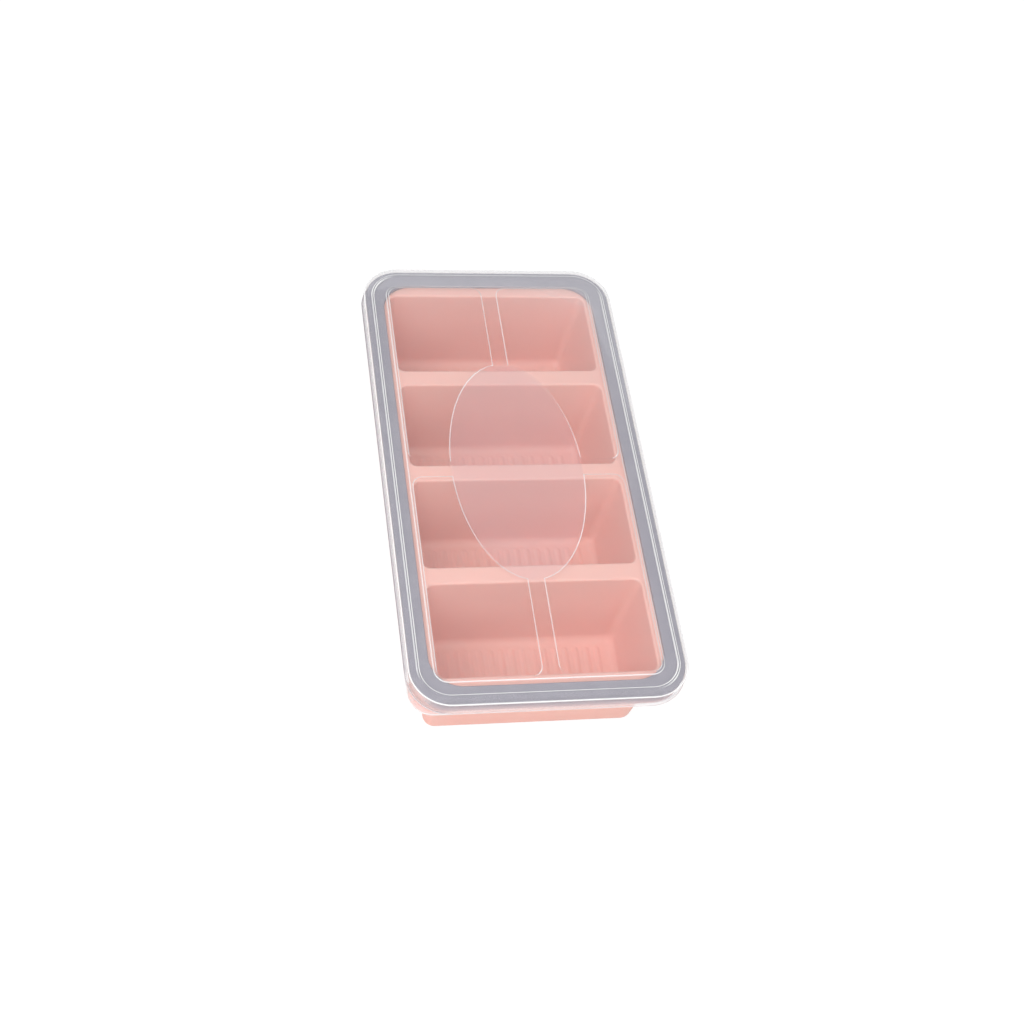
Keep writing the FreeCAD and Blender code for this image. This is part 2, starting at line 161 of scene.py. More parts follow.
class Net:
    """The node tree of one material or of the world."""

    def __init__(self, owner: Union[bpy.types.Material, bpy.types.World]) -> None:
        """Clear the owner's tree and start anew.

        Args:
            owner: The material or world.
        """
        owner.use_nodes = True
        self.tree = owner.node_tree
        self.tree.nodes.clear()

    def node(self, kind: str, settings: dict[str, Any], inputs: dict[Any, Any], output: Any = 0) -> Wire:
        """Add any node.

        Args:
            kind: The node's type.
            settings: Its properties, set first.
            inputs: Values or wires for its sockets, by name or number.
            output: The output to hand back, by name or number.

        Returns:
            The chosen output.
        """
        made = self.tree.nodes.new(kind)
        for name, value in settings.items():
            setattr(made, name, value)
        for name, value in inputs.items():
            if isinstance(value, Wire):
                self.tree.links.new(value.socket, made.inputs[name])
            else:
                made.inputs[name].default_value = value
        outputs = [socket for socket in made.outputs if socket.enabled]
        return Wire(self, outputs[output] if isinstance(output, int) else made.outputs[output])

    def place(self, scale: Triple = (1.0, 1.0, 1.0)) -> Wire:
        """Return the point on the object, in metres times a scale."""
        where = self.node("ShaderNodeTexCoord", {}, {}, "Object")
        return self.node("ShaderNodeMapping", {}, {"Vector": where, "Scale": scale})

    def noise(self, where: Wire, scale: float, detail: float = 3.0, roughness: float = 0.5) -> Wire:
        """Return a noise from 0 to 1 that repeats nowhere."""
        inputs = {"Vector": where, "Scale": scale, "Detail": detail, "Roughness": roughness}
        return self.node("ShaderNodeTexNoise", {}, inputs, "Fac")

    def mix(self, amount: Operand, first: Union[Wire, Colour], second: Union[Wire, Colour]) -> Wire:
        """Blend two colours: the first where the amount is 0, the second where it is 1."""
        inputs = {"Factor": amount, MIX_FIRST: first, MIX_SECOND: second}
        return self.node("ShaderNodeMix", {"data_type": "RGBA"}, inputs, "Result")

    def attribute(self, name: str) -> Wire:
        """Return a number that the mesh carries on its points."""
        return self.node("ShaderNodeAttribute", {"attribute_name": name}, {}, "Fac")

    def bump(self, height: Wire, strength: float, distance: float) -> Wire:
        """Return a normal that is roughened by a height."""
        inputs = {"Height": height, "Strength": strength, "Distance": distance}
        return self.node("ShaderNodeBump", {}, inputs, "Normal")

    def ray(self, kind: str) -> Wire:
        """Return 1 for rays of a kind and 0 for the others."""
        return self.node("ShaderNodeLightPath", {}, {}, kind)

    def principled(self, inputs: dict[str, Any]) -> Wire:
        """Add the main shader."""
        return self.node("ShaderNodeBsdfPrincipled", {}, inputs)

    def surface(self, shader: Wire, target: str = "ShaderNodeOutputMaterial") -> None:
        """Send a shader to the output."""
        out = self.tree.nodes.new(target)
        self.tree.links.new(shader.socket, out.inputs["Surface"])


# Finishes


class Finish(ABC):
    """A finish, which is one shader on every material that is made of it."""

    @abstractmethod
    def shader(self, net: Net) -> Wire:
        """Add the finish's nodes to a net and return its shader."""

    def material(self, name: str) -> bpy.types.Material:
        """Make a material of this finish.

        Args:
            name: The material's name.

        Returns:
            The material.
        """
        made = bpy.data.materials.new(name)
        net = Net(made)
        net.surface(self.shader(net))
        return made


@dataclass(frozen=True)
class Silicone(Finish):
    """Satin moulded silicone: a soft salmon body with a fine moulded grain, made paler where the mesh marks
    it with painted light, standing in for light shining through the silicone and falling on its top.
    """

    body: Colour = linear(243, 189, 177)
    warm: Colour = linear(244, 191, 179)
    # The painted light tone, and how far the mesh's marks blend it in.
    painted_light_tone: Colour = linear(246, 206, 197)
    painted_light_share: float = 0.6
    cloud_scale: float = 22.0
    cloud_band: Pair = (0.35, 0.65)
    cloud_rough: float = 0.08
    cloud_relief: float = 0.5
    grain_scale: float = 2600.0
    grain_rough: float = 0.16
    roughness: float = 0.46
    relief: Pair = (0.12, 0.0002)

    def shader(self, net: Net) -> Wire:
        """Add the shader: two close tones in soft clouds, made paler by painted light where the mesh marks
        it.

        Args:
            net: The net to add to.

        Returns:
            The shader.
        """
        where = net.place()
        cloud = net.noise(where, self.cloud_scale)
        grain = net.noise(where, self.grain_scale, detail=2.0)
        toned = net.mix(cloud.step(*self.cloud_band), self.body, self.warm)
        rough = (grain - NOISE_MIDDLE) * self.grain_rough + cloud * self.cloud_rough + self.roughness
        return net.principled({
            # Painted light: the marked lip, bead, ear and rim top are blended towards the paler tone.
            "Base Color": net.mix(net.attribute(PAINTED_LIGHT_MARK) * self.painted_light_share, toned, self.painted_light_tone),
            "Roughness": rough,
            "IOR": 1.41,
            "Subsurface Weight": 0.25,
            "Subsurface Radius": (1.0, 0.5, 0.4),
            "Subsurface Scale": 0.003,
            "Sheen Weight": 0.12,
            "Sheen Roughness": 0.5,
            "Normal": net.bump(grain + cloud * self.cloud_relief, *self.relief),
        })


@dataclass(frozen=True)
class ClearPlastic(Finish):
    """Thin clear plastic: nearly unseen when flat, with painted white highlights on formed edges and a
    painted whitish sheen towards grazing views, frosted in the oval.

    Its skirt is painted grey: in a band on the front, where the seal lies behind it, standing in for the
    seal seen through it, and lower down on the other sides, as painted shade. Each veil is how much alpha
    something adds. The bands are places on the object in metres, between which a veil rises from nothing to
    its whole.
    """

    tint: Colour = linear(244, 245, 249)
    frost: Colour = linear(236, 227, 236)
    # Painted grey for the skirt, standing in for the seal seen through it and for shade.
    painted_skirt_grey: Colour = linear(186, 182, 192)
    # Painted highlight white for the marked formed edges.
    bright: Colour = (1.0, 1.0, 1.0, 1.0)
    flat_veil: float = 0.045
    haze_veil: float = 0.02
    oval_veil: float = 0.055
    # The painted whitish sheen towards grazing views, standing in for reflection.
    slant_veil: float = 0.2
    # Alpha of the painted grey on the front band and the lower skirt, and of the painted edge highlights.
    front_veil: float = 0.34
    skirt_veil: float = 0.1
    edge_veil: float = 0.9
    oval_half: Pair = OVAL_HALF
    oval_rim: Pair = (1.02, 0.98)
    # Where the painted grey bands lie, in metres.
    front_along: Pair = (-0.126, -0.132)
    front_low: Pair = (0.0550, 0.0565)
    front_high: Pair = (0.0606, 0.0600)
    skirt_along: Pair = (-0.118, -0.108)
    skirt_down: Pair = (0.0600, 0.0536)
    haze_scale: float = 60.0
    haze_rough: float = 0.06
    oval_rough: float = 0.12
    roughness: float = 0.06
    ripple_scale: float = 35.0
    relief: Pair = (0.03, 0.0004)
    refraction: float = 1.49

    def shader(self, net: Net) -> Wire:
        """Add the shader.

        The oval is where the length of (x, y), each over the oval's half size, is less than 1.

        Args:
            net: The net to add to.

        Returns:
            The shader.
        """
        half_x, half_y = (side * MM for side in self.oval_half)
        round_place = net.place((1 / half_x, 1 / half_y, 0.0))
        reach = net.node("ShaderNodeVectorMath", {"operation": "LENGTH"}, {0: round_place}, "Value")
        oval = reach.step(*self.oval_rim)
        where = net.place()
        haze = net.noise(where, self.haze_scale, detail=4.0)
        ripple = net.noise(where, self.ripple_scale, detail=2.0)
        edge = net.attribute(PAINTED_LIGHT_MARK)
        slant = net.node("ShaderNodeFresnel", {}, {"IOR": self.refraction})
        along = net.node("ShaderNodeSeparateXYZ", {}, {0: where}, "Y")
        height = net.node("ShaderNodeSeparateXYZ", {}, {0: where}, "Z")
        # Painted grey: a band on the front skirt where the seal lies behind it, and the lower skirt on the
        # other sides.
        front = along.step(*self.front_along) * height.step(*self.front_low) * height.step(*self.front_high)
        skirt = along.step(*self.skirt_along) * height.step(*self.skirt_down)
        # The Fresnel part paints a whitish sheen towards grazing views, standing in for reflection.
        veil = haze * self.haze_veil + self.flat_veil + oval * self.oval_veil + slant * self.slant_veil
        veil = veil + front * self.front_veil + skirt * self.skirt_veil
        toned = net.mix(front + skirt, net.mix(oval, self.tint, self.frost), self.painted_skirt_grey)
        return net.principled({
            # Painted highlights: the marked formed edges turn white and nearly opaque, except low on the
            # skirt.
            "Base Color": net.mix(edge * (1 - skirt), toned, self.bright),
            "Roughness": haze * self.haze_rough + oval * self.oval_rough + self.roughness,
            "IOR": self.refraction,
            "Alpha": (veil + edge * self.edge_veil).at_most(1.0),
            "Normal": net.bump(ripple, *self.relief),
        })


@dataclass(frozen=True)
class SealRubber(Finish):
    """Cool grey soft rubber with a fine matt grain and a little dust."""

    body: Colour = linear(148, 145, 156)
    dusty: Colour = linear(156, 153, 163)
    dust_scale: float = 90.0
    dust_band: Pair = (0.35, 0.75)
    dust_rough: float = 0.1
    grain_scale: float = 3200.0
    grain_rough: float = 0.12
    roughness: float = 0.55
    relief: Pair = (0.15, 0.00015)

    def shader(self, net: Net) -> Wire:
        """Add the shader: the dust lightens the grey a little and takes off some gloss.

        Args:
            net: The net to add to.

        Returns:
            The shader.
        """
        where = net.place()
        dust = net.noise(where, self.dust_scale, detail=5.0, roughness=0.6)
        grain = net.noise(where, self.grain_scale, detail=2.0)
        rough = (grain - NOISE_MIDDLE) * self.grain_rough + dust * self.dust_rough + self.roughness
        return net.principled({
            "Base Color": net.mix(dust.step(*self.dust_band), self.body, self.dusty),
            "Roughness": rough,
            "IOR": 1.43,
            "Normal": net.bump(grain, *self.relief),
        })


@dataclass(frozen=True)
class DrawnWire(Finish):
    """Drawn stainless wire with fine lines along it."""

    bright: Colour = linear(190, 190, 192)
    dull: Colour = linear(140, 140, 144)
    stretch: Triple = (1.0, 1.0, 20.0)
    line_scale: float = 700.0
    line_rough: float = 0.2
    roughness: float = 0.22
    relief: Pair = (0.1, 0.0001)

    def shader(self, net: Net) -> Wire:
        """Add the shader: a noise that is squeezed in height makes the lines.

        Args:
            net: The net to add to.

        Returns:
            The shader.
        """
        lines = net.noise(net.place(self.stretch), self.line_scale)
        return net.principled({
            "Base Color": net.mix(lines, self.dull, self.bright),
            "Metallic": 1.0,
            "Roughness": lines * self.line_rough + self.roughness,
            "Normal": net.bump(lines, *self.relief),
        })


@dataclass(frozen=True)
class StudioPaper(Finish):
    """The white paper that the object stands on."""

    white: Colour = (0.86, 0.86, 0.86, 1.0)
    dim: Colour = (0.84, 0.84, 0.84, 1.0)
    fibre_scale: float = 500.0
    glow: float = 1.25
    share: float = 0.65

    def shader(self, net: Net) -> Wire:
        """Add the shader, which looks brighter to the camera than the light that it throws on the object.

        Args:
            net: The net to add to.

        Returns:
            The shader.
        """
        fibres = net.noise(net.place(), self.fibre_scale, detail=4.0)
        tone = net.mix(fibres, self.dim, self.white)
        paper = net.principled({"Base Color": tone, "Roughness": 0.9, "Specular IOR Level": 0.1})
        light = net.node("ShaderNodeEmission", {}, {"Color": (1.0, 1.0, 1.0, 1.0), "Strength": self.glow})
        amount = net.ray("Is Camera Ray") * self.share
        return net.node("ShaderNodeMixShader", {}, {0: amount, 1: paper, 2: light})


# Surfaces

# The way in plan along which the painted highlights on low moulded steps are strongest, the least strength,
# the part of that way up to which a step has only that, and the further part over which it becomes whole.
GLINT_WAY = np.array([0.45, 0.9])
GLINT_LEAST = 0.05
GLINT_FROM = -0.85
GLINT_OVER = 0.55


class Quarter(Enum):
    """The quarter of the plan that a pad stands in, as the signs of its x and y."""

    BACK_RIGHT = (1, 1)
    BACK_LEFT = (-1, 1)
    FRONT_LEFT = (-1, -1)
    FRONT_RIGHT = (1, -1)


class Facing(IntEnum):
    """The way that a step on the lid's border faces."""

    INWARDS = -1
    NEITHER = 0
    OUTWARDS = 1


# Sections of low steps, as rows of how far a point stands out from the step's line, its share of the step's
# rise, how strongly a painted highlight marks it and, where it matters, the way that it faces.
RIDGE_INSIDE = (
    (-0.35, 0.0, 0.0, Facing.NEITHER),
    (-0.12, 0.0, 0.9, Facing.INWARDS),
    (0.05, 11 / 14, 1.0, Facing.INWARDS),
    (0.32, 1.0, 0.95, Facing.INWARDS),
    (0.5, 1.0, 0.06, Facing.NEITHER),
)
RIDGE_OUTSIDE = (
    (-0.5, 1.0, 0.06, Facing.NEITHER),
    (-0.3, 1.0, 0.85, Facing.OUTWARDS),
    (-0.05, 11 / 14, 1.0, Facing.OUTWARDS),
    (0.12, 0.0, 0.9, Facing.OUTWARDS),
    (0.35, 0.0, 0.0, Facing.NEITHER),
)
PANEL_STEP = ((0.5, 0.0, 0.0), (0.12, 0.0, 0.5), (-0.05, 0.8, 0.8), (-0.22, 1.0, 0.4), (-0.5, 1.0, 0.0))
PAD_STEP = ((0.35, 0.0, 0.0), (0.1, 0.0, 0.7), (-0.02, 0.8, 1.0), (-0.16, 1.0, 0.5), (-0.4, 1.0, 0.0))
RECESS_STEP = ((0.4, 0.0), (0.1, 0.0), (-0.1, 1.0), (-0.5, 1.0))
RIB_STEP = ((1.0, 0.0), (0.65, 0.05), (0.25, 0.22), (-0.15, 0.5), (-0.5, 0.78), (-0.75, 0.95), (-0.95, 1.0))

# The (outset, height) of points between the rounds of the skirt: outside two from its foot, and
# inside one from its foot and one from the lid's underside.
SKIRT_OUTSIDE = np.array([(-0.3, 2.5), (-0.06, 0.7)])
SKIRT_INSIDE = np.array([(-0.1, 1.3), (0.06, -0.9)])


def arc(centre: Pair, radius: float, start: float, end: float, steps: int) -> np.ndarray:
    """Return points on a circle's arc: its centre plus the radius times the cosine and sine of each angle.

    Args:
        centre: The circle's centre.
        radius: Its radius.
        start: The first angle, in degrees.
        end: The last angle, in degrees.
        steps: How many pieces the arc has.

    Returns:
        An array of steps + 1 pairs.
    """
    angle = np.radians(np.linspace(start, end, steps + 1))
    return np.stack([centre[0] + radius * np.cos(angle), centre[1] + radius * np.sin(angle)], axis=1)


def rounded_ring(half: Pair, radius: float) -> np.ndarray:
    """Return a closed outline of a rectangle with round corners, anticlockwise from its back right corner.

    Each corner's points are that corner's centre plus the radius times the cosine and sine of an angle
    that runs over the corner's quarter turn.

    Args:
        half: Half its width and half its length.
        radius: Its corner radius.

    Returns:
        An array of 4 * (CORNER_STEPS + 1) pairs.
    """
    angle = (np.arange(4)[:, None] + np.linspace(0.0, 1.0, CORNER_STEPS + 1)[None, :]) * (np.pi / 2)
    sign_x = np.array([1, -1, -1, 1])[:, None]
    sign_y = np.array([1, 1, -1, -1])[:, None]
    x = sign_x * (half[0] - radius) + radius * np.cos(angle)
    y = sign_y * (half[1] - radius) + radius * np.sin(angle)
    return np.stack([x, y], axis=-1).reshape(-1, 2)


def level(outline: np.ndarray, height: float) -> np.ndarray:
    """Return an outline's pairs as points at one height."""
    return np.column_stack([outline, np.full(len(outline), height)])


def mitres(outline: np.ndarray) -> np.ndarray:
    """Return each point's way outwards on a closed anticlockwise outline.

    It is the sum of the outward normals of the point's two edges, divided by one plus their dot
    product, so that a step of that length moves each edge parallel to itself by one.

    Args:
        outline: The outline's pairs.

    Returns:
        One pair for each point.
    """
    along = np.roll(outline, -1, axis=0) - outline
    along /= np.linalg.norm(along, axis=1, keepdims=True)
    outwards = np.stack([along[:, 1], -along[:, 0]], axis=1)
    before = np.roll(outwards, 1, axis=0)
    dot = np.sum(outwards * before, axis=1, keepdims=True)
    return (outwards + before) / (1.0 + dot)


def glint_strength(outwards: np.ndarray) -> np.ndarray:
    """Return how strong the painted highlight on a low moulded step is, by the way that it faces.

    The steps that face the front get weaker painted highlights: the result rises evenly from GLINT_LEAST to
    1 as the outward way's part along GLINT_WAY goes from GLINT_FROM on over GLINT_OVER.

    Args:
        outwards: The pairs that point away from the higher side.

    Returns:
        One number for each pair.
    """
    part = (outwards @ GLINT_WAY) / np.linalg.norm(outwards, axis=1)
    return GLINT_LEAST + (1.0 - GLINT_LEAST) * np.clip((part - GLINT_FROM) / GLINT_OVER, 0.0, 1.0)


def step_section(rows: Sequence[Sequence[float]], line: float, low: float, rise: float) -> np.ndarray:
    """Put a step's section in place: its line plus each outset, its low side plus each share of its rise.

    Args:
        rows: The section's rows.
        line: The outset of the step's line.
        low: The height of its low side.
        rise: How much higher its high side is.

    Returns:
        The rows with the outset and the height in their first two columns.
    """
    table = np.array(rows, float)
    table[:, 0] += line
    table[:, 1] = low + table[:, 1] * rise
    return table


def marked(pairs: Union[np.ndarray, Sequence[Pair]], marks: Union[float, Sequence[float]]) -> np.ndarray:
    """Return (outset, height) pairs as rows with their edge marks, facing neither way."""
    return np.column_stack([pairs, np.broadcast_to(marks, len(pairs)), np.zeros(len(pairs))])


def ring_stack(half: Pair, radius: float, profile: np.ndarray, lean: float = 0.0) -> np.ndarray:
    """Carry a profile round a rectangle with round corners.

    A profile point (outset, height) becomes the outline whose half sizes and corner radius are
    the given ones plus the outset, at that height. A wall that leans by itself keeps its corner
    radius: the radius gains back the lean times the drop from the profile's first height.

    Args:
        half: Half sizes where the outset is 0.
        radius: Corner radius where the outset is 0.
        profile: The (outset, height) pairs.
        lean: How far the wall moves in for each unit of drop.

    Returns:
        An array of rings by points by three.
    """
    rings = []
    for outset, height in profile:
        corner = max(radius + outset + lean * (profile[0][1] - height), LEAST_CORNER)
        rings.append(level(rounded_ring((half[0] + outset, half[1] + outset), corner), height))
    return np.array(rings)


def outline_stack(outline: np.ndarray, profile: np.ndarray) -> np.ndarray:
    """Carry a profile round any closed outline: each point moves along its mitre by the outset.

    Args:
        outline: The outline's pairs, anticlockwise.
        profile: The (outset, height) pairs.

    Returns:
        An array of rings by points by three.
    """
    out = mitres(outline)
    return np.array([level(outline + out * outset, height) for outset, height in profile])


class Shell:
    """Patches of a closed surface, gathered in millimetres and then made into one mesh."""

    def __init__(self) -> None:
        """Start with nothing."""
        self.points: list[np.ndarray] = []
        self.faces: list[tuple[int, ...]] = []
        self.edge: list[np.ndarray] = []
        self.count = 0

    def add_points(self, points: np.ndarray, edge: np.ndarray) -> int:
        """Store points.

        Args:
            points: The points, in threes.
            edge: How much painted light each gets, from 0 to 1.

        Returns:
            The first one's number.
        """
        first = self.count
        self.points.append(points)
        self.edge.append(edge)
        self.count += len(points)
        return first

    def strip(self, rings: np.ndarray, edge: Optional[np.ndarray] = None) -> None:
        """Join each ring to the next with quads.

        Args:
            rings: An array of rings by points by three.
            edge: How much painted light each ring, or each point of each ring, gets, from 0 to 1.
        """
        count, size = rings.shape[:2]
        marks = np.zeros(count) if edge is None else np.asarray(edge, float)
        marks = np.broadcast_to(marks.reshape(count, -1), (count, size))
        first = self.add_points(rings.reshape(-1, 3), marks.reshape(-1))
        row, column = np.meshgrid(np.arange(count - 1) * size, np.arange(size), indexing="ij")
        following = (column + 1) % size
        corners = [row + column, row + following, row + size + following, row + size + column]
        quads = np.stack(corners, axis=-1).reshape(-1, 4) + first
        self.faces += [tuple(quad) for quad in quads.tolist()]

    def flat(self, outer: np.ndarray, holes: Sequence[np.ndarray] = (), edge: float = 0.0) -> None:
        """Fill a level outline with triangles, leaving its holes open.

        Args:
            outer: The outline's points, all at one height.
            holes: The holes' outlines.
            edge: How much painted light it gets.
        """
        loops = [outer, *holes]
        points = np.concatenate(loops)
        first = self.add_points(points, np.full(len(points), edge))
        filled = geometry.tessellate_polygon([[Vector(point) for point in loop] for loop in loops])
        self.faces += [tuple(first + corner for corner in triangle) for triangle in filled]

    def made(self, name: str) -> bpy.types.Object:
        """Merge the patches' shared rims and turn the faces outwards.

        Args:
            name: The object's name.

        Returns:
            The object, smooth except at its sharp edges.
        """
        mesh = bpy.data.meshes.new(name)
        mesh.from_pydata(np.concatenate(self.points) * MM, [], self.faces)
        mark = mesh.attributes.new(PAINTED_LIGHT_MARK, "FLOAT", "POINT")
        mark.data.foreach_set("value", np.concatenate(self.edge).astype(np.float32))
        work = bmesh.new()
        work.from_mesh(mesh)
        bmesh.ops.remove_doubles(work, verts=work.verts, dist=MERGE_GAP)
        bmesh.ops.recalc_face_normals(work, faces=work.faces)
        for face in work.faces:
            face.smooth = True
        work.to_mesh(mesh)
        open_edges = sum(1 for item in work.edges if len(item.link_faces) != 2)
        work.free()
        mesh.set_sharp_from_angle(angle=SHARP_ANGLE)
        made = bpy.data.objects.new(name, mesh)
        bpy.context.scene.collection.objects.link(made)
        LOG.info("%s: %d faces, %d open edges", name, len(mesh.polygons), open_edges)
        return made


# The object


@dataclass
class Plan:
    """The sizes that the tray, its lid and its seal share."""

    rim_half: Pair = (67.6, 131.575)
    rim_corner: float = 18.6
    rim_top: float = 58.0
    skirt_foot: float = 52.6

    def grown(self, outset: float) -> Pair:
        """Return the rim's half sizes plus an outset."""
        return (self.rim_half[0] + outset, self.rim_half[1] + outset)

    def front_left(self, outset: float, leg: float, radius: float) -> np.ndarray:
        """Return the path round the front left corner of the rim's rectangle, with its tip rounded.

        Args:
            outset: How far the rectangle is grown.
            leg: How far the path runs along each side.
            radius: The tip's radius.

        Returns:
            The pairs, anticlockwise.
        """
        half_x, half_y = self.grown(outset)
        tip = arc((radius - half_x, radius - half_y), radius, 180.0, 270.0, CORNER_STEPS)
        return np.concatenate([[(-half_x, leg - half_y)], tip, [(leg - half_x, -half_y)]])


@dataclass
class Tray:
    """The silicone moulding: a broad rim with a thick edge, four tapered cups, floor ribs, a grip ear.

    A ledge is the narrow level strip with which a round goes over into a flat.
    """

    plan: Plan
    cup_half: Pair = (54.5, 25.5)
    cup_count: int = 4
    cup_round: float = 4.0
    cup_pitch: float = 60.75
    cup_floor: float = 2.0
    lean: float = 2.5 / 56.0
    wall: float = 2.0
    inside_heights: tuple[float, ...] = (46.0, 34.0, 22.0, 12.0)
    outside_heights: tuple[float, ...] = (40.0, 22.0)
    lip: float = 1.2
    lip_ledge: float = 0.3
    # Painted light along each cup's lip, ring by ring from its top down.
    lip_marks: tuple[float, ...] = (0.2, 0.25, 0.3, 0.3, 0.25, 0.2, 0.1)
    ledge: float = 0.4
    root_round: float = 1.0
    root_ledge: float = 0.6
    web: float = 2.6
    bead: Pair = (6.4, 6.5)
    bead_top_round: float = 1.0
    bead_low_round: float = 1.2
    bead_root_round: float = 0.8
    bead_ledge: float = 0.5
    # Painted light on the bead's top round and outer side: how many rings get it and how much; and on the
    # rim's whole top, dividers too.
    bead_marked: int = 14
    bead_mark: float = 0.5
    top_mark: float = 0.2
    rib_half: Pair = (1.3, 17.5)
    rib_end_share: float = 0.9
    rib_rise: float = 0.5
    rib_pitch: float = 5.7
    rib_count: int = 16
    rib_thinning: int = 3
    ear_top: float = 52.2
    ear_thick: float = 2.4
    ear_reach: float = 0.9
    ear_leg: float = 18.0
    ear_corner: float = 12.0
    ear_round: float = 0.7
    # Painted light on the ear's rounded sides.
    ear_mark: float = 0.6
    finish: Silicone = field(default_factory=Silicone)

    def centres(self) -> np.ndarray:
        """Return how far along the tray each cup's middle is."""
        return (np.arange(self.cup_count) - (self.cup_count - 1) / 2) * self.cup_pitch

    def wall_at(self, height: float) -> float:
        """Return how far a leaning wall has moved in at a height, as a negative outset."""
        return (height - self.plan.rim_top) * self.lean

    def round_centre(self, height: float, radius: float) -> float:
        """Return the outset of a round's centre, which is the radius away from the leaning wall."""
        return self.wall_at(height) + radius / math.cos(math.atan(self.lean))

    def hollow_profile(self) -> np.ndarray:
        """Return the cup's inside: a rounded lip, the leaning wall, and the round to the floor.

        Returns:
            The (outset, height) pairs, downwards.
        """
        top = self.plan.rim_top
        slant = math.degrees(math.atan(self.lean))
        lip_height = top - self.lip
        lip_centre = self.round_centre(lip_height, self.lip)
        base_height = self.cup_floor + self.cup_round
        base_centre = self.round_centre(base_height, -self.cup_round)
        return np.concatenate([
            [(lip_centre + self.lip_ledge, top)],
            arc((lip_centre, lip_height), self.lip, 90.0, 180.0 - slant, ROUND_STEPS),
            [(self.wall_at(height), height) for height in self.inside_heights],
            arc((base_centre, base_height), self.cup_round, -slant, -90.0, BROAD_STEPS),
            [(base_centre - self.ledge, self.cup_floor)],
        ])

    def outside_profile(self) -> np.ndarray:
        """Return the cup's outside, from the web's underside down and round to its foot.

        Returns:
            The (outset, height) pairs, downwards.
        """
        under = self.plan.rim_top - self.web
        radius = self.cup_round + self.wall
        slant = math.degrees(math.atan(self.lean))
        centre = self.round_centre(radius, -radius)
        root_height = under - self.root_round
        root = self.wall_at(root_height) + self.root_round
        return np.concatenate([
            [(root + self.root_ledge, under)],
            arc((root, root_height), self.root_round, 90.0, 180.0, SMALL_STEPS),
            [(self.wall_at(height), height) for height in self.outside_heights],
            arc((centre, radius), radius, -slant, -90.0, BROAD_STEPS),
            [(centre - self.ledge, 0.0)],
        ])

    def bead_profile(self) -> np.ndarray:
        """Return the rim's thick edge, from its top over the side and under to the web.

        Returns:
            The (outset, height) pairs.
        """
        top = self.plan.rim_top
        wide, deep = self.bead
        high, low, root = self.bead_top_round, self.bead_low_round, self.bead_root_round
        low_height = top - deep + low
        under = top - self.web
        return np.concatenate([
            [(-high - self.bead_ledge, top)],
            arc((-high, top - high), high, 90.0, 0.0, ROUND_STEPS),
            arc((-low, low_height), low, 0.0, -90.0, ROUND_STEPS),
            arc((low - wide, low_height), low, -90.0, -180.0, ROUND_STEPS),
            arc((-root - wide, under - root), root, 0.0, 90.0, SMALL_STEPS),
            [(-root - self.ledge - wide, under)],
        ])

    def floor_ribs(self, shell: Shell, floor: np.ndarray) -> None:
        """Raise low rounded ribs from a cup's floor and fill the floor between them.

        Args:
            shell: The shell to add to.
            floor: The ring where the floor begins.
        """
        across = (np.arange(self.rib_count) - (self.rib_count - 1) / 2) * self.rib_pitch
        profile = step_section(RIB_STEP, 0.0, self.cup_floor, self.rib_rise)
        rings = ring_stack(self.rib_half, self.rib_half[0] * self.rib_end_share, profile)
        rings = rings[:, ::self.rib_thinning]
        holes = []
        for x in across:
            rib = rings + (x, floor[:, 1].mean(), 0.0)
            shell.strip(rib)
            shell.flat(rib[-1])
            holes.append(rib[0])
        shell.flat(floor, holes)

    def cup(self, shell: Shell, centre: float) -> tuple[np.ndarray, np.ndarray]:
        """Add one cup, inside and outside.

        Args:
            shell: The shell to add to.
            centre: How far along the tray the cup's middle is.

        Returns:
            The ring on the rim's top round its lip, and the ring on the rim's underside round its root.
        """
        offset = np.array([0.0, centre, 0.0])
        inner = ring_stack(self.cup_half, self.cup_round, self.hollow_profile(), self.lean) + offset
        marks = np.zeros(len(inner))
        # Painted light along the lip.
        marks[:len(self.lip_marks)] = self.lip_marks
        shell.strip(inner, marks)
        self.floor_ribs(shell, inner[-1])
        outer_half = (self.cup_half[0] + self.wall, self.cup_half[1] + self.wall)
        outer_round = self.cup_round + self.wall
        outer = ring_stack(outer_half, outer_round, self.outside_profile(), self.lean) + offset
        shell.strip(outer)
        shell.flat(outer[-1])
        return inner[0], outer[0]

    def ear(self, shell: Shell) -> None:
        """Add the grip ear, a small plate under the lid's lift tab.

        It is the rim's front left corner, with its tip rounded and its inside cut off by a slanting line.

        Args:
            shell: The shell to add to.
        """
        outline = self.plan.front_left(self.ear_reach, self.ear_leg, self.ear_corner)
        soft = self.ear_round
        low = self.ear_top - self.ear_thick
        rings = outline_stack(outline, np.concatenate([
            [(-soft - self.ledge, low)],
            arc((-soft, low + soft), soft, -90.0, 0.0, SMALL_STEPS),
            arc((-soft, self.ear_top - soft), soft, 0.0, 90.0, SMALL_STEPS),
            [(-soft - self.ledge, self.ear_top)],
        ]))
        # Painted light on the ear's rounded sides.
        shell.strip(rings, np.full(len(rings), self.ear_mark))
        shell.flat(rings[0])
        shell.flat(rings[-1])

    def build(self) -> bpy.types.Object:
        """Make the tray's mesh, dress it and put it on the tray's body.

        Returns:
            The tray's object.
        """
        shell = Shell()
        rim = ring_stack(self.plan.rim_half, self.plan.rim_corner, self.bead_profile())
        marks = np.zeros(len(rim))
        # Painted light on the bead's top and outer side.
        marks[:self.bead_marked] = self.bead_mark
        shell.strip(rim, marks)
        lips, roots = zip(*(self.cup(shell, centre) for centre in self.centres()))
        # The rim's top gets a little painted light.
        shell.flat(rim[0], lips, self.top_mark)
        shell.flat(rim[-1], roots)
        self.ear(shell)
        made = shell.made("tray_moulding")
        made.data.materials.append(self.finish.material("salmon_silicone"))
        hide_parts("tray")
        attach(made, "tray_body")
        return made


